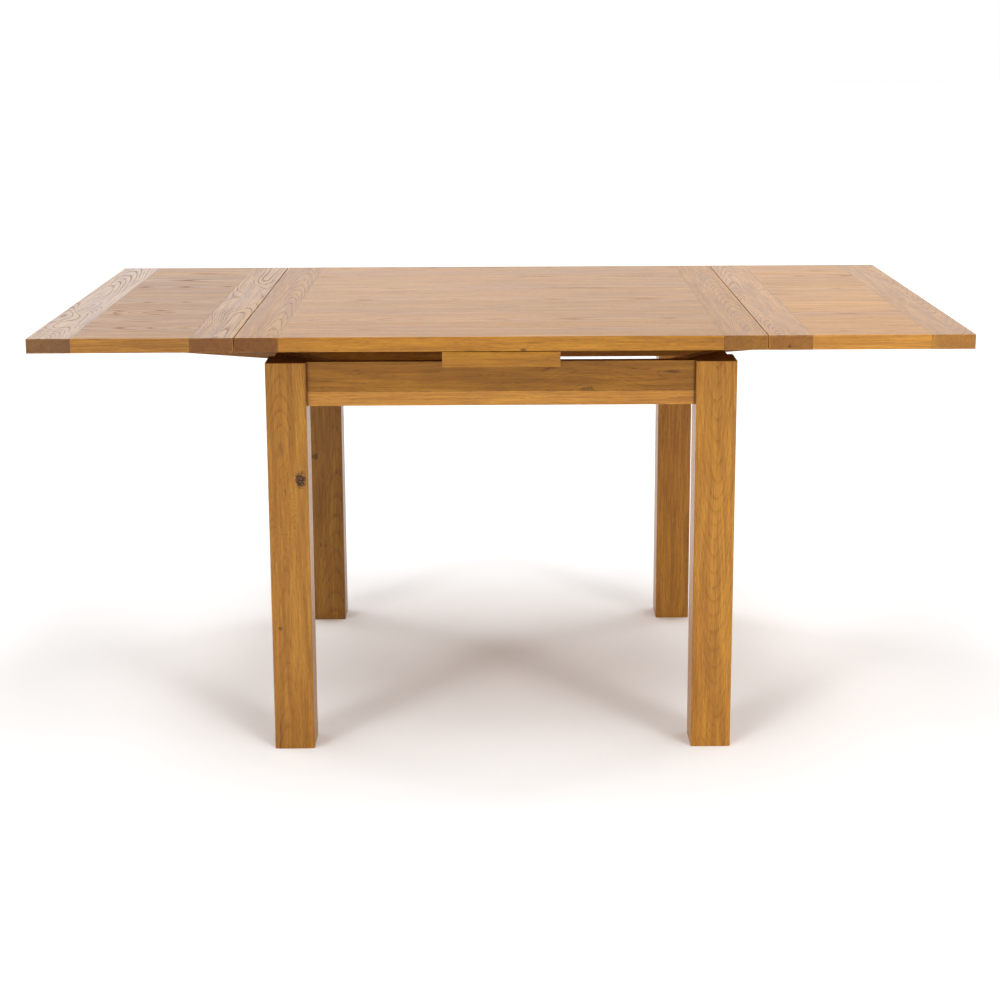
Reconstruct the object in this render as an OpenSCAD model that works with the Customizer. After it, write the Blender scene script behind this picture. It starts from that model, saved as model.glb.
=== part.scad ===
// Extending dining table in oak with two draw leaves, shown drawn out.
// A loose centre top stands on a fixed cross bearer. Each leaf hangs on two tapered
// lopers that ride through notches in the end apron, their tails held down by the bearer.
// Origin: on the floor under the middle of the table. +X runs along the length,
// +Y runs to the back, +Z is up. Millimetres.

/* [Overall] */
// height of the table top above the floor
table_h = 750; // [700:1:800]
// length of the centre top along X
centre_l = 900; // [800:1:1100]
// depth of the table along Y
table_d = 900; // [800:1:1000]
// thickness of the centre top and of the leaves
top_t = 25; // [20:0.5:32]

/* [Leaves] */
// width of each leaf along X
leaf_w = 349; // [250:1:400]
// open seam between a leaf and the centre top
seam = 1; // [0.5:0.1:2]
// width of the breadboard ends
bread_w = 74; // [50:1:100]
// number of boards glued up in each panel
boards = 7; // [5:1:9]
// width of the front board of the centre top
front_board_w = 152; // [100:1:180]
// thickness of the tongues under the breadboard ends
tongue_t = 8; // [5:0.5:10]
// length of the tongues
tongue_l = 12; // [8:1:20]
// length of groove left solid at each breadboard tip
tongue_stop = 20; // [10:1:40]

/* [Frame] */
// side of the square legs
leg = 70; // [50:1:90]
// outer width and depth of the frame over the legs
frame_w = 810; // [700:1:860]
// chamfer on the long leg arrises
leg_ease = 2; // [0.5:0.5:5]
// height of the front and back aprons
apron_h = 77; // [60:1:110]
// thickness of all aprons
apron_t = 18; // [15:0.5:25]
// step of the aprons behind the leg faces
apron_set = 10; // [0:1:20]
// height of the lower strip glued under each long apron
strip_h = 25; // [15:1:40]

/* [Bearer] */
// width of the fixed cross bearer along X
bearer_w = 200; // [150:1:260]
// thickness of the bearer
bearer_t = 26; // [20:0.5:32]
// depth of the long grain strips glued over the bearer's end grain
lip_d = 20; // [10:1:40]
// thickness of the felt pads between the bearer and the centre top
felt_t = 1; // [0.5:0.1:3]
// diameter of the felt pads
felt_d = 24; // [15:1:40]
// diameter of the two locating pegs
peg_d = 20; // [15:1:30]
// length of peg standing out under the centre top
peg_out = 34; // [30:1:45]
// depth each peg is glued into the top
peg_in = 12; // [8:1:15]
// distance of the pegs from the middle
peg_y = 120; // [80:1:160]
// slack of the peg holes on diameter
peg_slack = 1; // [0.6:0.1:2]

/* [Lopers] */
// thickness of the lopers along Y
loper_t = 40; // [25:1:45]
// distance from the middle to the centre line of the outer loper
loper_y = 265; // [220:1:300]
// sideways step between the lopers of the two leaves
loper_step = 45; // [30:1:60]
// height of the loper underside below the frame top, at the end apron
loper_drop = 15; // [10:0.5:25]
// height of the flat tail underside below the frame top
tail_drop = 20.5; // [15:0.5:30]
// how far the tail reaches past the middle of the table
tail_past = 12; // [5:1:30]
// distance from the leaf's outer edge to the loper end
loper_back = 40; // [20:1:80]
// air between a loper and its notch floor
ride_gap = 0.3; // [0.3:0.1:1]
// air between a tail and the bearer
bearer_gap = 0.4; // [0.3:0.1:1]
// side clearance of a loper in its notch
notch_gap = 0.5; // [0.3:0.1:1.5]
// diameter of the stop dowels
stop_d = 12; // [8:1:16]
// run left before a stop dowel meets the end apron
stop_run = 10.5; // [8:0.5:20]

/* [Corner joints] */
// thickness of the diagonal corner blocks
block_t = 20; // [15:1:30]
// reach of a corner block along each apron
block_reach = 90; // [70:1:95]
// height of the corner blocks
block_h = 60; // [40:1:70]
// thread diameter of the hanger bolts
bolt_d = 8; // [6:1:10]
// shank diameter of the wood screws
screw_d = 4; // [3:0.5:5]
// head diameter of the wood screws
head_d = 8; // [6:0.5:10]

/* [Hidden] */
$fn = 48;
frame_top = table_h - top_t - felt_t - bearer_t;   // top of legs and aprons
under = table_h - top_t;                           // underside of top and leaves
fw = frame_w / 2;
out = fw - apron_set;                              // outer face of an apron
inn = out - apron_t;                               // inner face of an apron
leg_in = fw - leg;                                 // inner face of a leg
cl = centre_l / 2;
td = table_d / 2;
leaf_in = cl + seam;                               // inner edge of a leaf
leaf_out = leaf_in + leaf_w;                       // outer edge of a leaf
travel = leaf_in - bearer_w / 2 - 1;               // full draw of a leaf
slope = (top_t + 1) / travel;                      // ramp of the lopers
ride_x = out - apron_t / 2;                        // middle of an end apron
ride_z = frame_top - loper_drop;                   // loper underside above that point
tail_z = frame_top - tail_drop;                    // flat underside of the tails
tail_x = ride_x - (ride_z - tail_z) / slope;       // where the taper meets the flat
bed_z = ride_z - slope * apron_t / 2 - ride_gap;   // floor of the notches
stop_x = inn - stop_run - stop_d / 2;              // stop dowel centre
block_in = (2 * inn - block_reach) / sqrt(2);      // diagonal distance of block faces
block_out = block_in + block_t;
back_board_w = (table_d - front_board_w) / (boards - 1);
leaf_board_w = table_d / boards;
bearer_top = frame_top + bearer_t;
screw_z1 = frame_top - 42;
screw_z2 = frame_top - 12;
bolt_z1 = frame_top - 45;
bolt_z2 = frame_top - 15;
head_t = 3;
screw_y = (inn - block_reach) + block_t * sqrt(2) / 2;   // screws through the block ends
screw_x = 2 * inn - block_reach - screw_y;               // block face at those screws
loper_screw_top = under + 14;
loper_screw_x = [leaf_in + bread_w * 0.66, leaf_in + leaf_w * 0.48, leaf_out - bread_w * 0.8];

oak = [0.78, 0.56, 0.32];
oak_dark = [0.66, 0.45, 0.25];
steel = [0.72, 0.72, 0.74];

// ---------- shared shapes ----------

// box from one corner to the opposite one
module slab(a, b) {
  translate(a) cube([b[0] - a[0], b[1] - a[1], b[2] - a[2]]);
}

// mirrors a front left shape into the corner named by its signs
module corner(sx, sy) {
  mirror([sx > 0 ? 1 : 0, 0, 0]) mirror([0, sy > 0 ? 1 : 0, 0]) children();
}

// hanger bolt line in the front left corner, from diagonal distance a to b
module diagonal_rod(a, b, z, d, sides) {
  translate([0, 0, z]) rotate([0, 0, 225]) translate([a, 0, 0]) rotate([0, 90, 0])
    cylinder(h = b - a, d = d, $fn = sides);
}

// ---------- frame ----------

// square leg of the front left corner, with a flat for its block and two bolt holes
module leg_shape() {
  e = leg_ease;
  difference() {
    translate([-fw, -fw, 0]) linear_extrude(height = frame_top)
      polygon([[e, 0], [leg - e, 0], [leg, e], [leg, leg - e], [leg - e, leg], [e, leg],
               [0, leg - e], [0, e]]);
    translate([0, 0, frame_top - block_h]) linear_extrude(height = block_h + 1)
      polygon([[-leg_in + 1, -leg_in + 1], [-leg_in + 1, -(sqrt(2) * block_out - leg_in + 1)],
               [-(sqrt(2) * block_out - leg_in + 1), -leg_in + 1]]);
    for (z = [bolt_z1, bolt_z2]) diagonal_rod(block_out - 1, block_out + 38, z, bolt_d, 48);
  }
}
module front_left_leg() { color(oak) corner(-1, -1) leg_shape(); }
module front_right_leg() { color(oak) corner(1, -1) leg_shape(); }
module back_left_leg() { color(oak) corner(-1, 1) leg_shape(); }
module back_right_leg() { color(oak) corner(1, 1) leg_shape(); }

// upper board of the front apron, with the pilot holes of bearer and block screws
module long_board() {
  difference() {
    slab([-leg_in, -out, frame_top - apron_h + strip_h], [leg_in, -inn, frame_top]);
    for (x = [-bearer_w * 0.35, 0, bearer_w * 0.35])
      translate([x, -ride_x, frame_top - 28]) cylinder(h = 30, d = screw_d);
    for (sx = [-1, 1], z = [screw_z1, screw_z2])
      translate([sx * screw_y, -inn - 12, z]) rotate([-90, 0, 0]) cylinder(h = 14, d = screw_d);
  }
}
module long_strip() {
  slab([-leg_in, -out, frame_top - apron_h], [leg_in, -inn, frame_top - apron_h + strip_h]);
}
module front_apron_board() { color(oak) long_board(); }
module front_apron_strip() { color(oak) long_strip(); }
module back_apron_board() { color(oak) mirror([0, 1, 0]) long_board(); }
module back_apron_strip() { color(oak) mirror([0, 1, 0]) long_strip(); }

// left end apron, with two open notches for its leaf's lopers
module end_apron() {
  difference() {
    slab([-out, -leg_in, frame_top - apron_h], [-inn, leg_in, frame_top]);
    for (y = [-loper_y, loper_y - loper_step])
      slab([-out - 1, y - loper_t / 2 - notch_gap, bed_z],
           [-inn + 1, y + loper_t / 2 + notch_gap, frame_top + 1]);
    for (sy = [-1, 1], z = [screw_z1, screw_z2])
      translate([-inn - 12, sy * screw_y, z]) rotate([0, 90, 0]) cylinder(h = 14, d = screw_d);
  }
}
module left_end_apron() { color(oak) end_apron(); }
module right_end_apron() { color(oak) rotate([0, 0, 180]) end_apron(); }

// diagonal block of the front left corner, mitred to both aprons
module block_shape() {
  a = inn - block_reach;
  b = a + block_t * sqrt(2);
  difference() {
    translate([0, 0, frame_top - block_h]) linear_extrude(height = block_h)
      polygon([[-a, -inn], [-b, -inn], [-inn, -b], [-inn, -a]]);
    for (z = [bolt_z1, bolt_z2]) diagonal_rod(block_in - 1, block_out + 1, z, bolt_d + 1, 48);
    for (z = [screw_z1, screw_z2]) {
      translate([-screw_y, -inn - 1, z]) rotate([-90, 0, 0]) cylinder(h = 30, d = screw_d);
      translate([-inn - 1, -screw_y, z]) rotate([0, 90, 0]) cylinder(h = 30, d = screw_d);
      translate([-screw_y, -screw_x - head_t, z]) rotate([-90, 0, 0]) cylinder(h = 30, d = head_d + 1);
      translate([-screw_x - head_t, -screw_y, z]) rotate([0, 90, 0]) cylinder(h = 30, d = head_d + 1);
    }
  }
}
module front_left_block() { color(oak_dark) corner(-1, -1) block_shape(); }
module front_right_block() { color(oak_dark) corner(1, -1) block_shape(); }
module back_left_block() { color(oak_dark) corner(-1, 1) block_shape(); }
module back_right_block() { color(oak_dark) corner(1, 1) block_shape(); }

// two hanger bolts in each corner, with a wide washer and a hexagon nut
module hanger_bolts() {
  color(steel) for (sx = [-1, 1], sy = [-1, 1], z = [bolt_z1, bolt_z2])
    corner(sx, sy) diagonal_rod(block_in - 14, block_out + 38, z, bolt_d, 48);
}
module bolt_washers() {
  color(steel) for (sx = [-1, 1], sy = [-1, 1], z = [bolt_z1, bolt_z2])
    corner(sx, sy) difference() {
      diagonal_rod(block_in - 1.6, block_in, z, bolt_d * 2.75, 48);
      diagonal_rod(block_in - 3, block_in + 1, z, bolt_d + 0.6, 48);
    }
}
module bolt_nuts() {
  color(steel) for (sx = [-1, 1], sy = [-1, 1], z = [bolt_z1, bolt_z2])
    corner(sx, sy) difference() {
      diagonal_rod(block_in - 8.1, block_in - 1.6, z, bolt_d * 1.625 / cos(30), 6);
      diagonal_rod(block_in - 10, block_in, z, bolt_d, 48);
    }
}

// one wood screw pointing up along Z from its head at the origin
module wood_screw(h) {
  union() {
    cylinder(h = head_t, d = head_d);
    translate([0, 0, head_t - 0.01]) cylinder(h = h - head_t - 1.99, d = screw_d);
    translate([0, 0, h - 2]) cylinder(h = 2, d1 = screw_d, d2 = 1);
  }
}
module block_screws() {
  color(steel) for (sx = [-1, 1], sy = [-1, 1], z = [screw_z1, screw_z2]) corner(sx, sy) {
    translate([-screw_y, -screw_x, z]) rotate([90, 0, 0]) wood_screw(inn - screw_x + 12);
    translate([-screw_x, -screw_y, z]) rotate([0, -90, 0]) wood_screw(inn - screw_x + 12);
  }
}

// ---------- bearer ----------

module centre_bearer() {
  color(oak) difference() {
    slab([-bearer_w / 2, -td + lip_d, frame_top], [bearer_w / 2, td - lip_d, bearer_top]);
    for (y = [-peg_y, peg_y]) translate([0, y, frame_top - 1])
      cylinder(h = bearer_t + 2, d = peg_d + peg_slack);
    for (sy = [-1, 1], x = [-bearer_w * 0.35, 0, bearer_w * 0.35]) {
      translate([x, sy * ride_x, frame_top - 1]) cylinder(h = bearer_t + 2, d = screw_d);
      translate([x, sy * ride_x, bearer_top - 5]) cylinder(h = 6, d = head_d + 1);
    }
  }
}
module bearer_lip() {
  slab([-bearer_w / 2, -td, frame_top], [bearer_w / 2, -td + lip_d, bearer_top]);
}
module bearer_front_lip() { color(oak) bearer_lip(); }
module bearer_back_lip() { color(oak) mirror([0, 1, 0]) bearer_lip(); }
module bearer_screws() {
  color(steel) for (sy = [-1, 1], x = [-bearer_w * 0.35, 0, bearer_w * 0.35])
    translate([x, sy * ride_x, bearer_top - 2]) rotate([180, 0, 0]) wood_screw(bearer_t + 24);
}

// ---------- panels ----------

// board edges fall on half millimetres, so that neighbours meet in the same plane
function half_mm(v) = round(v * 2) / 2;
// front edge of board i in the centre top
function centre_y(i) = i == 0 ? -td : -td + front_board_w + half_mm((i - 1) * back_board_w);
// front edge of board i in a leaf
function leaf_y(i) = -td + half_mm(i * leaf_board_w);

// board between two breadboard ends at x0 and x1, from y0 to y1, tongues at both ends
module panel_board(x0, x1, y0, y1) {
  mid = under + top_t / 2;
  union() {
    slab([x0, y0, under], [x1, y1, table_h]);
    slab([x0 - tongue_l, max(y0, -td + tongue_stop), mid - tongue_t / 2],
         [x1 + tongue_l, min(y1, td - tongue_stop), mid + tongue_t / 2]);
  }
}

// breadboard end from x0 to x1; groove on its left (side -1) or right (side 1) face
module breadboard(x0, x1, side) {
  mid = under + top_t / 2;
  gx = side < 0 ? x0 : x1;
  difference() {
    slab([x0, -td, under], [x1, td, table_h]);
    slab([gx - tongue_l - 1, -td + tongue_stop, mid - tongue_t / 2],
         [gx + tongue_l + 1, td - tongue_stop, mid + tongue_t / 2]);
  }
}

module centre_board(i) {
  color(oak) difference() {
    panel_board(-cl + bread_w, cl - bread_w, centre_y(i), i == boards - 1 ? td : centre_y(i + 1));
    for (y = [-peg_y, peg_y]) translate([0, y, under - 1]) cylinder(h = peg_in + 1, d = peg_d);
  }
}
module centre_board_1() { centre_board(0); }
module centre_board_2() { centre_board(1); }
module centre_board_3() { centre_board(2); }
module centre_board_4() { centre_board(3); }
module centre_board_5() { centre_board(4); }
module centre_board_6() { centre_board(5); }
module centre_board_7() { centre_board(6); }
module left_breadboard() { color(oak_dark) breadboard(-cl, -cl + bread_w, 1); }
module right_breadboard() { color(oak_dark) breadboard(cl - bread_w, cl, -1); }

// two dowels that drop into the bearer and keep the centre top in place
module locating_pegs() {
  color(oak_dark) for (y = [-peg_y, peg_y]) translate([0, y, 0]) union() {
    translate([0, 0, under - peg_out + 3]) cylinder(h = peg_out + peg_in - 3, d = peg_d);
    translate([0, 0, under - peg_out]) cylinder(h = 3.01, d1 = peg_d - 4, d2 = peg_d);
  }
}
module felt_pads() {
  color([0.35, 0.3, 0.25]) for (x = [-1, 1], y = [-1, 1])
    translate([x * bearer_w * 0.3, y * td * 0.7, bearer_top]) cylinder(h = felt_t, d = felt_d);
}

// ---------- leaves, drawn for the right hand side ----------

loper_ys = [-loper_y + loper_step, loper_y];

module leaf_screw_holes() {
  for (y = loper_ys, x = loper_screw_x)
    translate([x, y, under - 12]) cylinder(h = loper_screw_top - under + 12, d = screw_d);
}
module leaf_board(i) {
  color(oak) difference() {
    panel_board(leaf_in + bread_w, leaf_out - bread_w, leaf_y(i), leaf_y(i + 1));
    leaf_screw_holes();
  }
}
module leaf_inner_end() {
  color(oak_dark) difference() {
    breadboard(leaf_in, leaf_in + bread_w, 1);
    leaf_screw_holes();
  }
}
module leaf_outer_end() {
  color(oak_dark) difference() {
    breadboard(leaf_out - bread_w, leaf_out, -1);
    leaf_screw_holes();
  }
}

// tapered loper: flat on the leaf, sloping underside, tail that runs under the bearer
module loper(y) {
  x1 = leaf_out - loper_back;
  step_x = leaf_in + 4;
  tz = frame_top - bearer_gap;
  color(oak_dark) difference() {
    translate([0, y + loper_t / 2, 0]) rotate([90, 0, 0]) linear_extrude(height = loper_t)
      polygon([[-tail_past, tail_z], [tail_x, tail_z], [x1, ride_z + slope * (x1 - ride_x)],
               [x1, under], [step_x, under], [step_x, tz + slope * (step_x - bearer_w / 2)],
               [-tail_past, tz - slope * (tail_past + bearer_w / 2)]]);
    for (x = loper_screw_x) {
      translate([x, y, under - 12]) cylinder(h = 14, d = screw_d);
      translate([x, y, under - 60]) cylinder(h = 60 - 11, d = head_d + 1);
    }
    translate([stop_x, y, tail_z - 20]) cylinder(h = 20 + 22, d = stop_d);
  }
}
module stop_dowels() {
  color(oak_dark) for (y = loper_ys) translate([stop_x, y, tail_z - 10]) cylinder(h = 32, d = stop_d);
}
module loper_screws() {
  color(steel) for (y = loper_ys, x = loper_screw_x)
    translate([x, y, under - 11 - head_t]) wood_screw(loper_screw_top - under + 11 + head_t);
}

module right_leaf_board_1() { leaf_board(0); }
module right_leaf_board_2() { leaf_board(1); }
module right_leaf_board_3() { leaf_board(2); }
module right_leaf_board_4() { leaf_board(3); }
module right_leaf_board_5() { leaf_board(4); }
module right_leaf_board_6() { leaf_board(5); }
module right_leaf_board_7() { leaf_board(6); }
module right_leaf_inner_end() { leaf_inner_end(); }
module right_leaf_outer_end() { leaf_outer_end(); }
module right_front_loper() { loper(loper_ys[0]); }
module right_back_loper() { loper(loper_ys[1]); }
module right_stop_dowels() { stop_dowels(); }
module right_loper_screws() { loper_screws(); }

// the left leaf is the same leaf turned half round
module half_turn() { rotate([0, 0, 180]) children(); }
module left_leaf_board_1() { half_turn() leaf_board(6); }
module left_leaf_board_2() { half_turn() leaf_board(5); }
module left_leaf_board_3() { half_turn() leaf_board(4); }
module left_leaf_board_4() { half_turn() leaf_board(3); }
module left_leaf_board_5() { half_turn() leaf_board(2); }
module left_leaf_board_6() { half_turn() leaf_board(1); }
module left_leaf_board_7() { half_turn() leaf_board(0); }
module left_leaf_inner_end() { half_turn() leaf_inner_end(); }
module left_leaf_outer_end() { half_turn() leaf_outer_end(); }
module left_front_loper() { half_turn() loper(loper_ys[1]); }
module left_back_loper() { half_turn() loper(loper_ys[0]); }
module left_stop_dowels() { half_turn() stop_dowels(); }
module left_loper_screws() { half_turn() loper_screws(); }

// ---------- what is drawn ----------

front_left_leg();
front_right_leg();
back_left_leg();
back_right_leg();
front_apron_board();
front_apron_strip();
back_apron_board();
back_apron_strip();
left_end_apron();
right_end_apron();
front_left_block();
front_right_block();
back_left_block();
back_right_block();
hanger_bolts();
bolt_washers();
bolt_nuts();
block_screws();
centre_bearer();
bearer_front_lip();
bearer_back_lip();
bearer_screws();
centre_board_1();
centre_board_2();
centre_board_3();
centre_board_4();
centre_board_5();
centre_board_6();
centre_board_7();
left_breadboard();
right_breadboard();
locating_pegs();
felt_pads();
left_leaf_board_1();
left_leaf_board_2();
left_leaf_board_3();
left_leaf_board_4();
left_leaf_board_5();
left_leaf_board_6();
left_leaf_board_7();
left_leaf_inner_end();
left_leaf_outer_end();
left_front_loper();
left_back_loper();
left_stop_dowels();
left_loper_screws();
right_leaf_board_1();
right_leaf_board_2();
right_leaf_board_3();
right_leaf_board_4();
right_leaf_board_5();
right_leaf_board_6();
right_leaf_board_7();
right_leaf_inner_end();
right_leaf_outer_end();
right_front_loper();
right_back_loper();
right_stop_dowels();
right_loper_screws();
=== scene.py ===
"""Looks of an oak draw-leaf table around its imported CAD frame: camera, studio, eased arrises, and
procedural oak, zinc, steel and felt."""

import math
import random

import bmesh
import bpy
from mathutils import Matrix, Vector


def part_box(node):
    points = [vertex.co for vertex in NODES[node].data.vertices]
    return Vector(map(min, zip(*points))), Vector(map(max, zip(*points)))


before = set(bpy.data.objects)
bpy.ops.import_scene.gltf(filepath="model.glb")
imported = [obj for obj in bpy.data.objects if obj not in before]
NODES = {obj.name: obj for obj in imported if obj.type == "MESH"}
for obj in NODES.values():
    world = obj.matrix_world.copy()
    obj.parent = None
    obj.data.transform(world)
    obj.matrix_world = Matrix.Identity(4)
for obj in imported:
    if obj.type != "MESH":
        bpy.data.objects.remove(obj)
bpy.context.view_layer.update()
SCENE = bpy.context.scene
AXIS = {"X": 0, "Y": 1, "Z": 2}

TOP_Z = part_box("centre_board_1")[1].z
UNDER_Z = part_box("centre_board_1")[0].z
FRONT_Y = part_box("left_breadboard")[0].y
APRON_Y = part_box("front_apron_board")[0].y
FRONT_LEG_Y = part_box("front_left_leg")[0].y
BACK_LEG_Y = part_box("back_left_leg")[0].y


def srgb(r, g, b):
    """Linear colour from 0-255 display values."""
    return tuple(((c / 255 + 0.055) / 1.055) ** 2.4 if c > 10.3 else c / 255 / 12.92 for c in (r, g, b))


# ---------------------------------------------------------------- camera

# fitted to the photograph: angles in degrees, place in metres, focal length over sensor width
PITCH, YAW, ROLL = 11.499, 0.219, -0.248
CAMERA_PLACE = (-0.014636, -3.638669, 1.289985)
FOCAL_RATIO = 1.921284
SHIFT_Y = -0.10
SENSOR_WIDTH = 36
CLIP_END = 100


def make_camera():
    """The photograph's camera."""
    pitch, yaw, roll = (math.radians(a) for a in (PITCH, YAW, ROLL))
    ahead = Vector((math.sin(yaw) * math.cos(pitch), math.cos(yaw) * math.cos(pitch), -math.sin(pitch)))
    side = Vector((math.cos(yaw), -math.sin(yaw), 0))
    above = side.cross(ahead)
    right = math.cos(roll) * side + math.sin(roll) * above
    up = -math.sin(roll) * side + math.cos(roll) * above
    cam = bpy.data.objects.new("camera", bpy.data.cameras.new("camera"))
    SCENE.collection.objects.link(cam)
    world = Matrix((right, up, -ahead)).transposed().to_4x4()
    world.translation = Vector(CAMERA_PLACE)
    cam.matrix_world = world
    cam.data.sensor_width = SENSOR_WIDTH
    cam.data.lens = SENSOR_WIDTH * FOCAL_RATIO
    cam.data.shift_y = SHIFT_Y
    cam.data.clip_end = CLIP_END
    SCENE.camera = cam


# ---------------------------------------------------------------- node building

class Tree:
    """Short calls for building the nodes of one material, or of the world."""

    def __init__(self, name, world=None):
        self.mat = world or bpy.data.materials.new(name)
        self.mat.use_nodes = True
        self.nodes = self.mat.node_tree.nodes
        self.links = self.mat.node_tree.links
        self.bsdf = self.nodes.get("Principled BSDF")

    def add(self, kind, **inputs):
        """A new node with some of its inputs set or linked."""
        node = self.nodes.new(kind)
        for key, value in inputs.items():
            self.put(node.inputs[key], value)
        return node

    def put(self, socket, value):
        """Links an output to a socket, or sets the socket's own number or colour."""
        if isinstance(value, bpy.types.NodeSocket):
            self.links.new(value, socket)
        elif isinstance(value, tuple) and len(value) == 3 and len(socket.default_value) == 4:
            socket.default_value = (*value, 1)
        else:
            socket.default_value = value

    def math(self, op, a, b=0.0, c=0.0, clamp=False):
        node = self.nodes.new("ShaderNodeMath")
        node.operation, node.use_clamp = op, clamp
        for socket, value in zip(node.inputs, (a, b, c)):
            self.put(socket, value)
        return node.outputs[0]

    def times(self, a, b):
        return self.math("MULTIPLY", a, b)

    def plus(self, a, b):
        return self.math("ADD", a, b)

    def minus(self, a, b):
        return self.math("SUBTRACT", a, b)

    def scaled(self, a, factor, offset):
        return self.math("MULTIPLY_ADD", a, factor, offset)

    def absolute(self, a):
        return self.math("ABSOLUTE", a)

    def either(self, a, b):
        """The larger of two masks, where the first may be missing."""
        return b if a is None else self.math("MAXIMUM", a, b)

    def vec(self, op, a, b=(0.0, 0.0, 0.0)):
        node = self.nodes.new("ShaderNodeVectorMath")
        node.operation = op
        self.put(node.inputs[0], a)
        self.put(node.inputs[1], b)
        return node.outputs["Value" if op == "LENGTH" else "Vector"]

    def join(self, x, y, z):
        return self.add("ShaderNodeCombineXYZ", X=x, Y=y, Z=z).outputs[0]

    def split(self, v):
        return self.add("ShaderNodeSeparateXYZ", Vector=v).outputs

    def noise(self, vector, scale=1.0, detail=2.0, rough=0.5, colour=False):
        node = self.add("ShaderNodeTexNoise", Vector=vector, Scale=scale, Detail=detail, Roughness=rough)
        return node.outputs["Color" if colour else "Fac"]

    def step(self, value, start, end, out_start=0.0, out_end=1.0):
        """A smooth step from out_start, where value is start, to out_end, where it is end."""
        node = self.nodes.new("ShaderNodeMapRange")
        node.interpolation_type = "SMOOTHSTEP"
        for socket, source in zip(node.inputs, (value, start, end, out_start, out_end)):
            self.put(socket, source)
        return node.outputs[0]

    def mix(self, factor, a, b, kind="MIX"):
        """Colour a where factor is 0, blended with b where it is 1."""
        node = self.nodes.new("ShaderNodeMix")
        node.data_type, node.blend_type, node.clamp_factor = "RGBA", kind, True
        for socket, source in zip((node.inputs[0], node.inputs[6], node.inputs[7]), (factor, a, b)):
            self.put(socket, source)
        return node.outputs[2]

    def place(self):
        """Texture coordinates: Object is the point in the frame, in metres."""
        return self.nodes.new("ShaderNodeTexCoord").outputs

    def finish(self, colour, roughness, height, depth, strength):
        """Joins colour, roughness and bump to the shader. depth: bump height in metres."""
        self.put(self.bsdf.inputs["Base Color"], colour)
        self.put(self.bsdf.inputs["Roughness"], roughness)
        bump = self.add("ShaderNodeBump", Height=height, Distance=depth, Strength=strength)
        self.put(self.bsdf.inputs["Normal"], bump.outputs[0])
        return self.mat


def paint(node, mat):
    """Gives a CAD node one material."""
    materials = NODES[node].data.materials
    materials.clear()
    materials.append(mat)


# ---------------------------------------------------------------- knots

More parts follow.
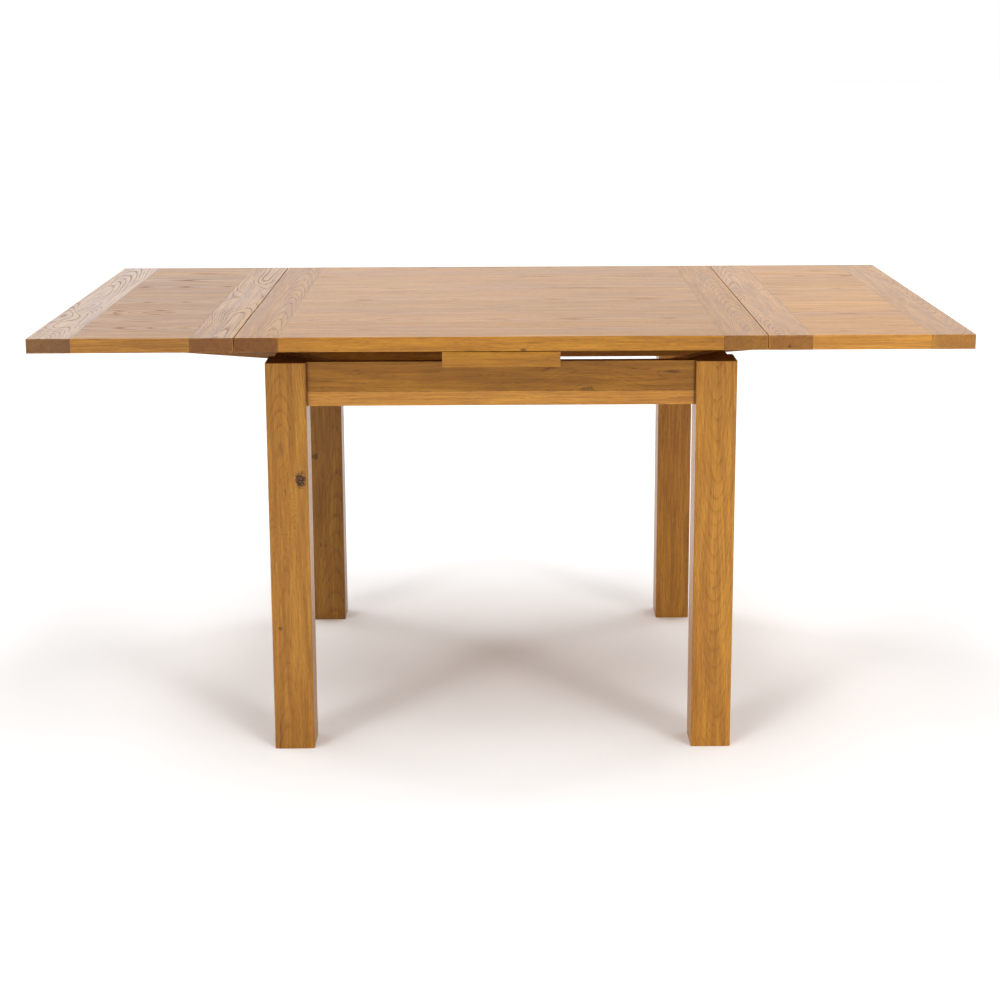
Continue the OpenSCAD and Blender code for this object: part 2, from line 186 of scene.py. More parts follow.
# by piece: place, size along the grain, size across it, bend of the rings, darkness of the core
KNOTS = {
    "front_left_leg": [((-0.3482, FRONT_LEG_Y, 0.497), 0.040, 0.016, 0.012, 0.0),
                       ((-0.3482, FRONT_LEG_Y, 0.492), 0.034, 0.023, 0.0, 1.0),
                       ((-0.3787, FRONT_LEG_Y, 0.456), 0.055, 0.016, 0.010, 0.0),
                       ((-0.3902, FRONT_LEG_Y, 0.224), 0.010, 0.009, 0.003, 0.6)],
    "back_left_leg": [((-0.3915, BACK_LEG_Y, 0.361), 0.045, 0.018, 0.010, 0.0),
                      ((-0.3915, BACK_LEG_Y, 0.361), 0.018, 0.014, 0.0, 0.7),
                      ((-0.3747, BACK_LEG_Y, 0.165), 0.008, 0.008, 0.003, 0.5)],
    "front_apron_board": [((0.1536, APRON_Y, 0.653), 0.060, 0.026, 0.018, 0.0),
                          ((0.1500, APRON_Y, 0.648), 0.030, 0.012, 0.0, 0.55),
                          ((0.2944, APRON_Y, 0.6785), 0.030, 0.008, 0.006, 0.0),
                          ((0.2944, APRON_Y, 0.6785), 0.032, 0.007, 0.0, 0.6)],
    "left_leaf_board_4": [((-0.6622, 0.0465, TOP_Z), 0.050, 0.014, 0.010, 0.0),
                          ((-0.6622, 0.0465, TOP_Z), 0.022, 0.005, 0.0, 0.5),
                          ((-0.5845, 0.0572, TOP_Z), 0.045, 0.012, 0.009, 0.0),
                          ((-0.5845, 0.0572, TOP_Z), 0.016, 0.004, 0.0, 0.45)],
    "left_leaf_board_2": [((-0.7121, -0.2565, TOP_Z), 0.050, 0.012, 0.008, 0.0),
                          ((-0.6900, -0.2565, TOP_Z), 0.014, 0.004, 0.0, 0.4)],
    "left_leaf_board_3": [((-0.6387, -0.1668, TOP_Z), 0.060, 0.014, 0.009, 0.0)],
    "left_leaf_inner_end": [((-0.4920, 0.0150, TOP_Z), 0.150, 0.030, 0.026, 0.0),
                            ((-0.5150, -0.3176, TOP_Z), 0.110, 0.030, 0.018, 0.0)],
    "left_leaf_outer_end": [((-0.7663, -0.0781, TOP_Z), 0.090, 0.022, 0.020, 0.0),
                            ((-0.7663, -0.0781, TOP_Z), 0.016, 0.010, 0.0, 0.5),
                            ((-0.7750, -0.3097, TOP_Z), 0.100, 0.026, 0.016, 0.0)],
    "right_breadboard": [((0.3820, 0.0200, TOP_Z), 0.130, 0.012, 0.014, 0.0),
                         ((0.3840, 0.0500, TOP_Z), 0.030, 0.004, 0.0, 0.55),
                         ((0.3850, -0.0500, TOP_Z), 0.022, 0.0035, 0.0, 0.5)],
    "right_leaf_inner_end": [((0.5000, 0.0000, TOP_Z), 0.140, 0.024, 0.022, 0.0),
                             ((0.4858, FRONT_Y, 0.7308), 0.006, 0.006, 0.003, 0.85),
                             ((0.5174, -0.1800, TOP_Z), 0.050, 0.004, 0.0, 0.35)],
    "centre_board_3": [((-0.1920, -0.1570, TOP_Z), 0.050, 0.010, 0.006, 0.0),
                       ((-0.1920, -0.1570, TOP_Z), 0.018, 0.003, 0.0, 0.35)],
    "centre_board_5": [((-0.1946, 0.0981, TOP_Z), 0.050, 0.010, 0.006, 0.0),
                       ((-0.1946, 0.0981, TOP_Z), 0.018, 0.003, 0.0, 0.35)],
    "centre_board_1": [((0.0375, FRONT_Y, 0.7271), 0.012, 0.007, 0.004, 0.8),
                       ((0.0200, FRONT_Y, 0.7300), 0.060, 0.014, 0.008, 0.0)],
}


# ---------------------------------------------------------------- oak

OAK_PALE = srgb(196, 138, 49)
OAK_RICH = srgb(178, 119, 37)
OAK_DARK = srgb(104, 63, 18)
KNOT_CORE = srgb(52, 28, 12)
# dark colour of glue lines and cracks, and of the painted shade where the aprons meet the legs
SOIL_AND_SHADE = srgb(58, 34, 14)

# noise that runs with the grain: cells per metre along it and across it, detail, roughness
FIBRE = (14.0, 330.0, 3.0, 0.6)
PORE = (75.0, 1250.0, 1.0, 0.5)
STREAK = (5.0, 95.0, 3.0, 0.6)
BLOTCH = (2.2, 16.0, 3.0, 0.55)
# slow waves of the fibres, and flecks of the rays: cells per metre along the grain and across it
WAVES = (1.6, 7.0)
RAYS = (45.0, 55.0)
RAYS_PER_RADIAN = 120.0
# uneven widths of the years: cells per metre of radius, and the shift in years
UNEVEN = (90.0, 1.8)
# patches where the rings are faint: cells per metre along the grain and of radius
FAINT = (3.0, 40.0)
# cells per metre of the ragged knots, the crumbs in them, the scuffed edges and the drift of a crack
RAGGED, CRUMBS, SCUFFS, DRIFT = 230.0, 420.0, 55.0, 60.0
# distance from the arris where the wear is none, and where it is full
WEAR_REACH = (0.0028, 0.0002)
# half width of a crack, outside and in its dark middle
CRACK_WIDTH = (0.0011, 0.0003)

SHIFT_RANGE = 40
OAK_IOR = 1.36
COAT_ROUGHNESS = 0.20
OAK_BUMP = (0.00035, 0.55)
GLUE_LINE = 0.00055


class Oak(Tree):
    """Oak cut from one log. The year rings are shells round a pith line beside the piece, so faces,
    edges and end grain belong together."""

    def __init__(self, node, grain, tone, hue):
        super().__init__("oak_" + node)
        rng = random.Random(node)
        self.shift = [rng.uniform(-SHIFT_RANGE, SHIFT_RANGE) for _ in range(3)]
        self.tint = (tone, tone * hue[0], tone * hue[1])
        low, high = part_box(node)
        self.half = (high - low) / 2
        place = self.place()
        self.point = place["Object"]
        self.normal = self.split(place["Normal"])
        self.local = self.split(self.vec("SUBTRACT", self.point, tuple((low + high) / 2)))
        self.grain = AXIS[grain]
        self.along = self.local[self.grain]

    def toned(self, colour, factor=1.0):
        """A colour in this piece's own tone."""
        return tuple(c * tint * factor for c, tint in zip(colour, self.tint))

    def bend_fibres(self, pith, lean, wave):
        """Slow waves bend the fibres. The same bent space carries rings, pores and rays."""
        u, v = (self.local[axis] for axis in range(3) if axis != self.grain)
        length, width = WAVES
        slow = self.noise(self.join(self.scaled(self.along, length, self.shift[0]),
                                    self.scaled(u, width, self.shift[1]),
                                    self.scaled(v, width, self.shift[2])), 1.0, 2.0, 0.45, colour=True)
        bend = self.split(slow)
        reach = wave * 2.4
        self.u = self.scaled(bend[0], reach, u)
        self.v = self.scaled(bend[1], reach, v)
        self.from_pith = [self.plus(self.scaled(self.along, -drift, side), -offset - reach / 2)
                          for drift, side, offset in zip(lean, (self.u, self.v), pith)]
        du, dv = self.from_pith
        self.radius = self.math("SQRT", self.plus(self.times(du, du), self.times(dv, dv)))

    def add_knots(self, knots):
        """Each knot bends the rings round it. Returns a mask of the dark cores, or None."""
        cores = None
        for spot, along, across, bent, dark in knots:
            size = [across] * 3
            size[self.grain] = along
            away = self.vec("SUBTRACT", self.point, tuple(spot))
            away = self.vec("LENGTH", self.vec("MULTIPLY", away, tuple(1 / s for s in size)))
            rise = self.math("EXPONENT", self.times(self.times(away, away), -1.0))
            self.radius = self.scaled(rise, bent, self.radius)
            if dark:
                cores = self.either(cores, self.knot_core(away, dark))
        return cores

    def knot_core(self, away, dark):
        """A ragged dark spot with paler crumbs in it."""
        ragged = self.scaled(self.noise(self.point, RAGGED, 4.0, 0.65), 0.80, away)
        crumbs = self.step(self.noise(self.point, CRUMBS, 2.0, 0.6), 0.66, 0.50, 0.30, 1.0)
        return self.times(self.times(self.step(ragged, 0.92, 0.66), dark), crumbs)

    def along_grain(self, field, shift):
        """Noise that runs with the fibres; on the end grain it shows as dots."""
        length, width, detail, rough = field
        place = self.join(self.scaled(self.along, length, shift),
                          self.times(self.u, width), self.times(self.v, width))
        return self.noise(place, 1.0, detail, rough)

    def add_rings(self, ring):
        """Year rings: a dark porous band that starts sharply and fades. Widths vary from year to year."""
        cells, years = UNEVEN
        uneven = self.noise(self.join(self.times(self.radius, cells), self.shift[0], 0.0), 1.0, 1.0)
        year = self.math("FRACT", self.scaled(uneven, years, self.times(self.radius, 1 / ring)))
        porous = self.times(self.step(year, 0.36, 0.03), 0.86)
        fading = self.times(self.step(year, 0.85, 0.05), 0.14)
        self.early = self.times(self.plus(porous, fading), self.step(year, 0.0, 0.035))

    def add_fibres(self):
        """Fibres, pores, streaks and blotches, and the rings broken up by them."""
        self.fibre = self.along_grain(FIBRE, self.shift[2])
        pore = self.along_grain(PORE, self.shift[1])
        self.pores = self.times(self.step(pore, 0.54, 0.66), self.scaled(self.early, 0.75, 0.25))
        self.streak = self.along_grain(STREAK, self.shift[0])
        self.blotch = self.along_grain(BLOTCH, self.shift[1])
        length, depth = FAINT
        patch = self.join(self.times(self.along, length), self.times(self.radius, depth), self.shift[1])
        faint = self.step(self.noise(patch, 1.0, 2.0), 0.32, 0.66, 0.25, 1.0)
        broken = self.step(self.fibre, 0.38, 0.60, 0.35, 1.0)
        self.band = self.times(self.times(self.early, faint), broken)

    def add_rays(self):
        """Medullary rays: flat shells that hold the pith line, so they flash on quarter-sawn faces."""
        du, dv = self.from_pith
        length, depth = RAYS
        turn = self.math("ARCTAN2", dv, du)
        place = self.join(self.scaled(self.along, length, self.shift[0]),
                          self.times(self.radius, depth), self.times(turn, RAYS_PER_RADIAN))
        self.rays = self.step(self.noise(place, 1.0, 1.0, 0.4), 0.60, 0.72)

    def ground_colour(self):
        """The wood between its lines."""
        ground = self.mix(self.step(self.blotch, 0.3, 0.7), self.toned(OAK_RICH), self.toned(OAK_PALE))
        return self.mix(self.step(self.fibre, 0.36, 0.66, 0.0, 0.40), ground, self.toned(OAK_DARK, 1.7))

    def long_colour(self, ground, figure, relief):
        """Colour of the faces along the fibres."""
        streaked = min(0.8, 0.42 + 0.4 * relief)
        colour = self.mix(self.step(self.streak, 0.38, 0.66, 0.0, streaked), ground,
                          self.toned(OAK_DARK, 1.9))
        colour = self.mix(self.times(self.rays, 0.30), colour, self.toned(OAK_PALE, 1.22))
        lines = self.math("MULTIPLY", self.band, 0.74 * figure, clamp=True)
        colour = self.mix(lines, colour, self.toned(OAK_DARK, 1.25))
        return self.mix(self.times(self.pores, 0.60), colour, self.toned(OAK_DARK, 0.75))

    def end_colour(self, ground, tint):
        """Colour of the end grain, which drinks the finish and turns darker."""
        colour = self.mix(self.step(self.streak, 0.35, 0.70, 0.0, 0.35), ground, self.toned(OAK_DARK, 1.9))
        lines = self.math("MULTIPLY", self.band, 0.25, clamp=True)
        colour = self.mix(lines, colour, self.toned(OAK_DARK, 1.25))
        colour = self.mix(self.times(self.pores, 0.35), colour, self.toned(OAK_DARK, 0.9))
        return self.mix(1.0, colour, tint, "MULTIPLY")

    def edge_wear(self):
        """Mask of handling wear, from the distance to the nearest arris of the piece's box."""
        near = [self.minus(self.half[i], self.absolute(self.local[i])) for i in range(3)]
        low = self.math("MINIMUM", near[0], near[1])
        high = self.math("MAXIMUM", near[0], near[1])
        second = self.math("MAXIMUM", low, self.math("MINIMUM", high, near[2]))
        scuff = self.noise(self.point, SCUFFS, 4.0, 0.65)
        return self.times(self.step(second, *WEAR_REACH), self.step(scuff, 0.42, 0.66))

    def glue_and_shade_line(self, axis, value, half_width=GLUE_LINE):
        """Mask of a thin dark line where a plane cuts the surface."""
        gap = self.absolute(self.minus(self.split(self.point)[AXIS[axis]], value))
        return self.step(gap, half_width, half_width * 0.27)

    def drying_crack(self, spot, half_length, across):
        """Mask of a wandering upright crack."""
        away = self.split(self.vec("SUBTRACT", self.point, tuple(spot)))
        drift = self.noise(self.join(0.3, 0.7, self.times(away[2], DRIFT)), 1.0, 2.0)
        gap = self.absolute(self.plus(away[AXIS[across]], self.scaled(drift, 0.006, -0.003)))
        reach = self.step(self.absolute(away[2]), half_length, half_length * 0.55)
        return self.times(self.step(gap, *CRACK_WIDTH), reach)

    def dark_marks(self, lines, cracks):
        """Mask of glue lines, painted shade where the aprons meet the legs, and drying cracks, or None."""
        marks = None
        for line in lines:
            marks = self.either(marks, self.glue_and_shade_line(*line))
        for crack in cracks:
            marks = self.either(marks, self.drying_crack(*crack))
        return marks

    def surface_height(self, relief):
        """Relief of the surface as a share of the bump's depth: open bands and pores lie low."""
        height = self.minus(self.times(self.fibre, 0.35), self.times(self.band, 0.2 + relief))
        height = self.scaled(self.streak, 1.4 * relief, height)
        return self.minus(height, self.times(self.pores, 0.55))

    def surface_roughness(self, ends, worn, relief):
        """Roughness, higher on pores, blotches, end grain, worn edges and open bands."""
        rough = self.scaled(self.pores, 0.18, self.scaled(self.blotch, 0.14, 0.24))
        rough = self.plus(rough, self.times(ends, 0.12))
        rough = self.scaled(worn, 0.12, rough)
        return self.math("MULTIPLY_ADD", self.band, 0.45 * relief, rough, clamp=True)

    def set_coat(self, coat, relief, bare_with_painted_shade):
        """Clear finish, thinner on the rough bands."""
        self.bsdf.inputs["IOR"].default_value = OAK_IOR
        self.bsdf.inputs["Coat IOR"].default_value = OAK_IOR
        self.bsdf.inputs["Coat Roughness"].default_value = COAT_ROUGHNESS
        if bare_with_painted_shade:
            self.bsdf.inputs["Coat Weight"].default_value = 0.0
        else:
            weight = self.math("MULTIPLY_ADD", self.band, -coat * relief, coat, clamp=True)
            self.put(self.bsdf.inputs["Coat Weight"], weight)


def oak(node, grain, pith, lean=(0.0, 0.0), ring=0.0030, tone=1.0, hue=(1.0, 1.0), figure=1.0,
        wave=0.006, lines=(), cracks=(), end_tint=(0.72, 0.69, 0.66), relief=0.3, coat=0.39, bare_with_painted_shade=False):
    """Gives a CAD node its oak. All lengths are in metres.
    grain: axis of the fibres. pith: offset of the pith line from the piece's middle, across the grain.
    lean: how far the pith line drifts per metre. ring: mean width of a year ring.
    tone: brightness. hue: factors of green and blue. figure: strength of the rings.
    wave: how far the fibres bend. lines: (axis, value[, half width]) planes of glue lines and of painted
    shade where the aprons meet the legs. cracks: (place, half length, axis of width) of drying cracks.
    end_tint: factor of the end grain's colour. relief: how open and brushed the surface is. coat: weight of
    the clear finish.
    bare: the piece has no coat, and its upper faces are rough and darkened with painted shade."""
    wood = Oak(node, grain, tone, hue)
    wood.bend_fibres(pith, lean, wave)
    cores = wood.add_knots(KNOTS.get(node, ()))
    wood.add_rings(ring)
    wood.add_fibres()
    wood.add_rays()

    ground = wood.ground_colour()
    ends = wood.step(wood.absolute(wood.normal[wood.grain]), 0.45, 0.85)
    colour = wood.mix(ends, wood.long_colour(ground, figure, relief), wood.end_colour(ground, end_tint))
    worn = wood.edge_wear()
    colour = wood.mix(wood.times(worn, 0.35), colour, wood.toned(OAK_PALE, 1.25))
    height = wood.surface_height(relief)
    rough = wood.surface_roughness(ends, worn, relief)

    marks = wood.dark_marks(lines, cracks)
    if cores is not None:
        colour = wood.mix(cores, colour, wood.toned(KNOT_CORE))
        height = wood.minus(height, wood.times(cores, 0.5))
    if marks is not None:
        # glue lines and cracks are dark in the wood; where the aprons meet the legs the same mark is
        # painted shade
        colour = wood.mix(wood.times(marks, 0.72), colour, wood.toned(SOIL_AND_SHADE))
        height = wood.minus(height, marks)
    if bare_with_painted_shade:
        upward = wood.normal[2]
        rough = wood.math("MAXIMUM", rough, wood.step(upward, 0.4, 0.8, 0.0, 0.92))
        # painted shade: the upward faces are darkened towards dark oak
        colour = wood.mix(wood.step(upward, 0.4, 0.8, 0.0, 0.75), colour, wood.toned(OAK_DARK, 0.7))

    mat = wood.finish(colour, rough, height, *OAK_BUMP)
    wood.set_coat(coat, relief, bare_with_painted_shade)
    paint(node, mat)


# ---------------------------------------------------------------- metal, felt

STEEL_BUMP = (0.00006, 0.4)
FELT_BUMP = (0.0004, 0.9)


def steel(name, base, rough, scratch):
    """Plated steel with clouds and fine scratches."""
    tree = Tree(name)
    point = tree.place()["Object"]
    cloud = tree.noise(point, 240.0, 3.0, 0.6)
    fine = tree.noise(tree.vec("MULTIPLY", point, (900.0, 900.0, 2600.0)), 1.0, 2.0, 0.6)
    colour = tree.mix(tree.step(cloud, 0.3, 0.7), tuple(c * 0.72 for c in base), base)
    colour = tree.mix(tree.step(fine, 0.62, 0.74, 0.0, 0.5), colour, tuple(c * 0.45 for c in base))
    uneven = tree.scaled(cloud, 0.22, rough)
    uneven = tree.math("MULTIPLY_ADD", fine, scratch, uneven, clamp=True)
    mat = tree.finish(colour, uneven, fine, *STEEL_BUMP)
    tree.bsdf.inputs["Metallic"].default_value = 1.0
    return mat


def felt(name):
    """Brown wool felt."""
    tree = Tree(name)
    point = tree.place()["Object"]
    wool = tree.noise(point, 900.0, 5.0, 0.7)
    tuft = tree.noise(point, 220.0, 3.0, 0.6)
    colour = tree.mix(tree.step(wool, 0.3, 0.72), srgb(74, 60, 46), srgb(128, 108, 86))
    colour = tree.mix(tree.step(tuft, 0.35, 0.7, 0.0, 0.35), colour, srgb(52, 42, 34))
    rough = tree.math("MULTIPLY_ADD", wool, 0.1, 0.86, clamp=True)
    mat = tree.finish(colour, rough, wool, *FELT_BUMP)
    tree.bsdf.inputs["Sheen Weight"].default_value = 0.5
    tree.bsdf.inputs["Sheen Roughness"].default_value = 0.6
    return mat


# ---------------------------------------------------------------- arrises

# radius of the eased arrises: aprons and legs, bearer and lopers, table top
FRAME_ARRIS, BEARER_ARRIS, TOP_ARRIS = 0.0008, 0.0010, 0.0012
WELD_GAP = 0.00001
ON_PLANE = 1e-5
INSIDE_GAP = 1e-4
FLAT_ANGLE = math.radians(1)
ARRIS_ANGLE = math.radians(30)


def arris_weights(mesh, joints):
    """One weight per edge: 0 on the joint planes and for edges within the top's thickness, 1 elsewhere."""
    values = []
    for edge in mesh.edges:
        a, b = (mesh.vertices[i].co for i in edge.vertices)
        kept = any(abs(a[AXIS[axis]] - value) < ON_PLANE and abs(b[AXIS[axis]] - value) < ON_PLANE
                   for axis, value in joints)
        inside = all(UNDER_Z + INSIDE_GAP < end.z < TOP_Z - INSIDE_GAP for end in (a, b))
        values.append(0.0 if kept or inside else 1.0)
    return values


def ease(node, width, joints=(), segments=3):
    """Rounds a wooden piece's arrises with modifiers. joints: (axis, value) planes where it meets its
    neighbour and stays sharp."""
    piece = NODES[node]
    mesh = piece.data
    if "custom_normal" in mesh.attributes:
        mesh.attributes.remove(mesh.attributes["custom_normal"])
    mesh.polygons.foreach_set("use_smooth", [False] * len(mesh.polygons))
    weld = piece.modifiers.new("weld", "WELD")
    weld.merge_threshold = WELD_GAP
    flat = piece.modifiers.new("flat", "DECIMATE")
    flat.decimate_type = "DISSOLVE"
    flat.angle_limit = FLAT_ANGLE
    if joints:
        weight = mesh.attributes.get("bevel_weight_edge")
        if weight is None:
            weight = mesh.attributes.new("bevel_weight_edge", "FLOAT", "EDGE")
        weight.data.foreach_set("value", arris_weights(mesh, joints))
    bevel = piece.modifiers.new("arris", "BEVEL")
    bevel.width, bevel.segments = width, segments
    bevel.limit_method = "WEIGHT" if joints else "ANGLE"
    bevel.angle_limit = ARRIS_ANGLE
    bevel.use_clamp_overlap = True
    bevel.miter_outer = "MITER_ARC"


# ---------------------------------------------------------------- frame

def build_legs():
    oak("front_left_leg", "Z", (-0.012, 0.085), (0.0, 0.035), 0.0012, 0.87, figure=0.60, wave=0.007,
        bare_with_painted_shade=True, cracks=[((-0.3952, FRONT_LEG_Y, 0.0), 0.062, "X")])
    oak("front_right_leg", "Z", (0.004, 0.075), (0.010, -0.050), 0.0013, 1.03, figure=0.55, wave=0.008,
        bare_with_painted_shade=True)
    oak("back_left_leg", "Z", (0.02, 0.11), (0.02, 0.03), 0.0013, 0.60, figure=0.50, wave=0.007, bare_with_painted_shade=True)
    oak("back_right_leg", "Z", (0.05, 0.12), (0.03, 0.0), 0.0013, 0.94, figure=0.55, wave=0.005, bare_with_painted_shade=True)
    for n in ("front_left_leg", "front_right_leg", "back_left_leg", "back_right_leg"):
        ease(n, FRAME_ARRIS, segments=2)


def build_aprons():
    low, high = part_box("front_apron_board")
    seam = ("Z", low.z)
    # painted shade where the aprons meet the legs, wider on the right
    corner_shade = [("X", low.x, 0.0035), ("X", high.x, 0.0050)]
    # the board's low tone beside the paler strip is partly its own colour and partly painted shade from the
    # top's overhang
    oak("front_apron_board", "X", (-0.10, 0.01), (0.0, 0.03), 0.0026, 0.75, (0.97, 0.62), figure=0.7,
        wave=0.010, lines=[seam] + corner_shade, bare_with_painted_shade=True)
    oak("front_apron_strip", "X", (-0.12, -0.05), (0.0, 0.0), 0.0030, 1.14, figure=0.35, wave=0.003,
        lines=[seam] + corner_shade)
    oak("back_apron_board", "X", (0.10, -0.02), (0.0, 0.02), 0.0030, 0.95, figure=0.7, wave=0.008,
        lines=[seam], bare_with_painted_shade=True)
    oak("back_apron_strip", "X", (0.12, -0.04), (0.0, 0.0), 0.0030, 1.0, figure=0.4, wave=0.003,
        lines=[seam])
    oak("left_end_apron", "Y", (0.09, 0.03), (0.03, 0.0), 0.0030, 0.97, figure=0.8, wave=0.008, bare_with_painted_shade=True)
    oak("right_end_apron", "Y", (-0.10, -0.02), (-0.02, 0.01), 0.0028, 0.98, figure=0.7, wave=0.007,
        bare_with_painted_shade=True)
    for n in ("front_apron_board", "front_apron_strip", "back_apron_board", "back_apron_strip"):
        ease(n, FRAME_ARRIS, [seam] + [("X", corner.x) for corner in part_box(n)])
    for n in ("left_end_apron", "right_end_apron"):
        ease(n, FRAME_ARRIS, segments=2)
    for n in ("front_left_block", "front_right_block", "back_left_block", "back_right_block"):
        oak(n, "Z", (0.06, 0.05), (0.01, 0.02), 0.0036, 0.72, figure=0.8)


def build_bearer():
    oak("centre_bearer", "Y", (0.03, -0.09), (0.01, 0.02), 0.0034, 1.0, figure=0.7)
    for n, inner in (("bearer_front_lip", 1), ("bearer_back_lip", 0)):
        seam = ("Y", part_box(n)[inner].y)
        oak(n, "X", (-0.09, -0.03), (0.0, 0.03), 0.0030, 0.84, (0.95, 0.20), figure=0.4, lines=[seam])
        ease(n, BEARER_ARRIS, [seam])
    ease("centre_bearer", BEARER_ARRIS, [("Y", corner.y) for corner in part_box("centre_bearer")])


# ---------------------------------------------------------------- top and leaves

BOARD_COUNT = 7
BOARD_WAVE = 0.005
# the front board of the centre is more golden than the rest: factors of green and blue
GOLD_BOARD, GOLD = "centre_board_1", (0.96, 0.44)
# boards: name, breadboard ends at their low and high x, tone, figure, relief
PANELS = [
    ("centre_board_%d", "left_breadboard", "right_breadboard", 0.99, 0.60, 0.35),
    ("left_leaf_board_%d", "left_leaf_outer_end", "left_leaf_inner_end", 0.86, 1.4, 0.8),
    ("right_leaf_board_%d", "right_leaf_inner_end", "right_leaf_outer_end", 1.17, 0.55, 0.3),
]
# breadboard ends: name, tone, figure, waviness, ring width, glued side (0 low x, 1 high x),
# end grain tint, relief, coat
BREADS = [
    ("left_breadboard", 0.88, 0.85, 0.006, 0.0019, 1, (0.435, 0.34, 0.17), 0.5, 0.38),
    ("right_breadboard", 0.99, 0.9, 0.008, 0.0020, 0, (0.62, 0.58, 0.42), 0.4, 0.35),
    ("left_leaf_inner_end", 0.92, 1.8, 0.010, 0.0026, 0, (0.46, 0.37, 0.20), 1.0, 0.62),
    ("left_leaf_outer_end", 0.86, 1.8, 0.010, 0.0026, 1, (0.45, 0.40, 0.41), 1.0, 0.95),
    ("right_leaf_inner_end", 1.10, 1.1, 0.010, 0.0021, 1, (0.60, 0.52, 0.35), 0.5, 0.52),
    ("right_leaf_outer_end", 1.04, 0.8, 0.007, 0.0024, 0, (0.87, 0.88, 0.96), 0.3, 0.50),
]


def build_boards():
    for name, low_end, high_end, tone, figure, relief in PANELS:
        joints = [("X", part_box(low_end)[1].x), ("X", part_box(high_end)[0].x)]
        for i in range(1, BOARD_COUNT + 1):
            n = name % i
            low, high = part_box(n)
            rng = random.Random("board " + n)
            pith = (rng.uniform(-0.05, 0.05), -rng.uniform(0.04, 0.11))
            lean = (rng.uniform(-0.01, 0.01), rng.uniform(-0.05, 0.05))
            ring = 0.0030 + rng.uniform(0, 0.0014)
            board_tone = tone * rng.uniform(0.94, 1.05)
            hue = GOLD if n == GOLD_BOARD else (rng.uniform(0.98, 1.01), rng.uniform(0.92, 1.04))
            glue = [("Y", v) for v, outside in ((low.y, i == 1), (high.y, i == BOARD_COUNT)) if not outside]
            oak(n, "X", pith, lean, ring, board_tone, hue, figure=figure, wave=BOARD_WAVE,
                lines=glue + joints, relief=relief)
            ease(n, TOP_ARRIS, glue + joints)


def build_breadboards():
    for n, tone, figure, wave, ring, joint, end_tint, relief, coat in BREADS:
        rng = random.Random("bread " + n)
        pith = (rng.uniform(-0.02, 0.02), -rng.uniform(0.03, 0.06))
        lean = (rng.uniform(-0.02, 0.02), rng.uniform(-0.05, 0.05))
        plane = ("X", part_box(n)[joint].x)
        oak(n, "Y", pith, lean, ring, tone, figure=figure, wave=wave, lines=[plane], end_tint=end_tint,
            relief=relief, coat=coat)
        ease(n, TOP_ARRIS, [plane])


def build_lopers():
    for side in ("left", "right"):
        for row in ("front", "back"):
            n = f"{side}_{row}_loper"
            rng = random.Random("pith " + n)
            pith = (rng.uniform(-0.05, 0.05), rng.uniform(-0.12, -0.06))
            oak(n, "X", pith, (0.0, 0.03), 0.0034, 0.68, figure=0.8)
            ease(n, BEARER_ARRIS, segments=2)
    for n in ("left_stop_dowels", "right_stop_dowels", "locating_pegs"):
        oak(n, "Z", (0.03, 0.05), ring=0.003, tone=0.85)


def build_metal():
    zinc = steel("zinc_plate", srgb(196, 198, 204), 0.24, 0.12)
    bright = steel("screw_plate", srgb(206, 196, 160), 0.26, 0.14)
    for n in ("hanger_bolts", "bolt_washers", "bolt_nuts"):
        paint(n, zinc)
    for n in ("block_screws", "bearer_screws", "left_loper_screws", "right_loper_screws"):
        paint(n, bright)
    paint("felt_pads", felt("wool_felt"))


# ---------------------------------------------------------------- studio

FLOOR_SIZE = 30
FLOOR_PALE, FLOOR_PALER = (0.94, 0.94, 0.94), (0.97, 0.97, 0.97)
WHITE = (1.0, 1.0, 1.0)
# brightness of the surroundings: axis, where it starts and ends, the two levels
SKY = [(2, 0.14, 0.42, 1.0, 0.12), (1, -0.6, 0.6, 0.42, 1.05), (0, -0.3, 0.3, 1.12, 0.94)]
# name, azimuth, elevation, strength, angular width; azimuth 0 is in front of the table, 90 on its right
SUNS = [
    ("front_left", -38, 27, 0.56, 15), ("front_right", 38, 27, 0.58, 15),
    ("front_high_left", -34, 52, 0.34, 22), ("front_high_right", 34, 52, 0.38, 22),
    ("quarter_left", -50, 62, 0.28, 24), ("quarter_right", 50, 62, 0.33, 24),
    ("side_left", -97, 60, 0.74, 40), ("side_right", 97, 60, 0.78, 40),
    ("front_low_left", -28, 12, 0.06, 16), ("front_low_right", 28, 12, 0.12, 16),
    ("rim_left", -122, 28, 0.26, 16), ("rim_right", 122, 28, 0.25, 16),
    ("back_left", -150, 58, 0.36, 26), ("back_right", 150, 58, 0.36, 26),
]


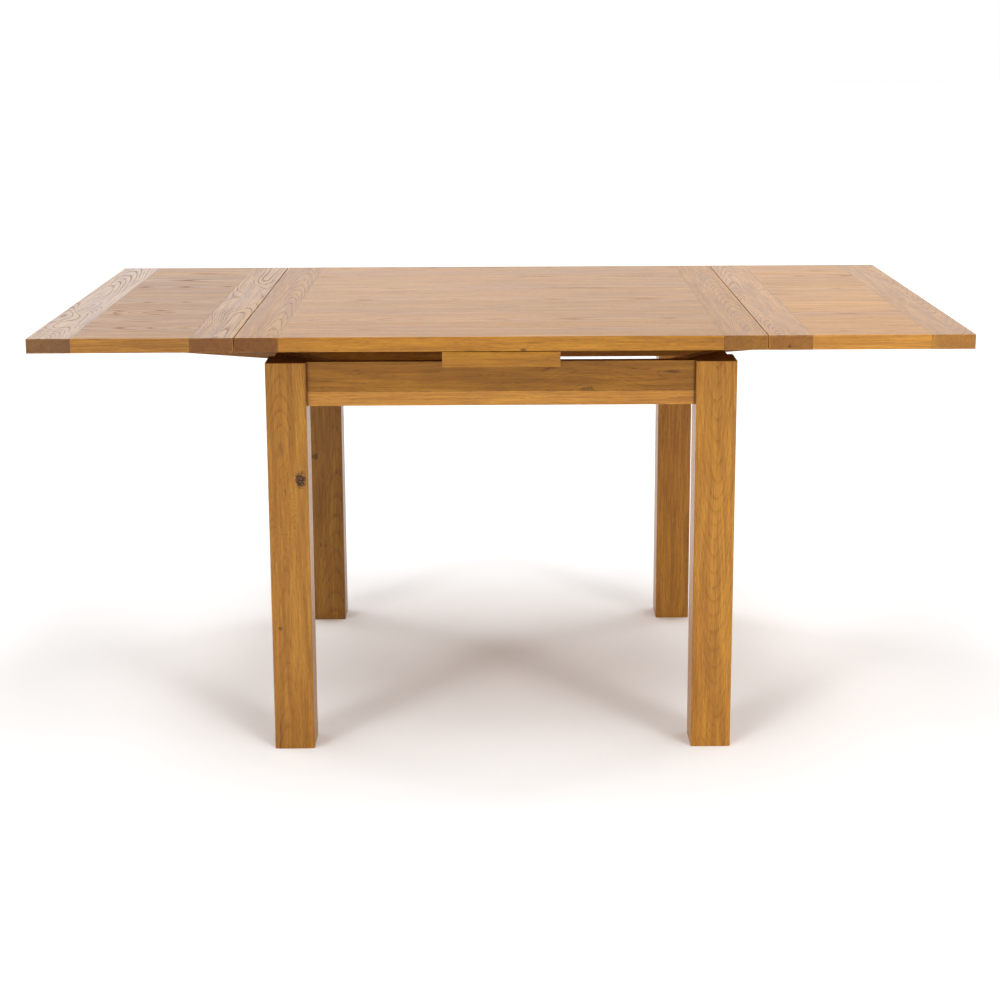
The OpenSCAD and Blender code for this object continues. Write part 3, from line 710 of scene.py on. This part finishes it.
def build_floor():
    mesh = bpy.data.meshes.new("floor")
    grid = bmesh.new()
    bmesh.ops.create_grid(grid, x_segments=8, y_segments=8, size=FLOOR_SIZE)
    grid.to_mesh(mesh)
    grid.free()
    floor = bpy.data.objects.new("floor", mesh)
    SCENE.collection.objects.link(floor)
    tree = Tree("floor_white")
    grey = tree.noise(tree.place()["Object"], 3.0, 3.0)
    tree.put(tree.bsdf.inputs["Base Color"], tree.mix(grey, FLOOR_PALE, FLOOR_PALER))
    tree.bsdf.inputs["Roughness"].default_value = 0.75
    tree.bsdf.inputs["Specular IOR Level"].default_value = 0.2
    mesh.materials.append(tree.mat)


def build_sky():
    """Surroundings that are white to the camera and softly graded as a light."""
    SCENE.world = bpy.data.worlds.new("studio")
    sky = Tree("studio", SCENE.world)
    sky.nodes.clear()
    place = sky.split(sky.place()["Generated"])
    level = 1.0
    for axis, *span in SKY:
        level = sky.times(sky.step(place[axis], *span), level)
    lit = sky.add("ShaderNodeBackground", Color=WHITE, Strength=level)
    seen = sky.add("ShaderNodeBackground", Color=WHITE)
    mix = sky.nodes.new("ShaderNodeMixShader")
    camera_ray = sky.nodes.new("ShaderNodeLightPath").outputs["Is Camera Ray"]
    for socket, source in zip(mix.inputs, (camera_ray, lit.outputs[0], seen.outputs[0])):
        sky.put(socket, source)
    sky.put(sky.nodes.new("ShaderNodeOutputWorld").inputs["Surface"], mix.outputs[0])


def build_suns():
    for name, azimuth, elevation, strength, spread in SUNS:
        light = bpy.data.lights.new(name, "SUN")
        light.energy, light.angle = strength, math.radians(spread)
        lamp = bpy.data.objects.new(name, light)
        SCENE.collection.objects.link(lamp)
        a, e = math.radians(azimuth), math.radians(elevation)
        away = Vector((math.sin(a) * math.cos(e), -math.cos(a) * math.cos(e), math.sin(e)))
        lamp.rotation_mode = "QUATERNION"
        lamp.rotation_quaternion = away.to_track_quat("Z", "Y")


make_camera()
build_legs()
build_aprons()
build_bearer()
build_boards()
build_breadboards()
build_lopers()
build_metal()
build_floor()
build_sky()
build_suns()
SCENE.view_settings.view_transform = "Standard"
SCENE.view_settings.look = "None"
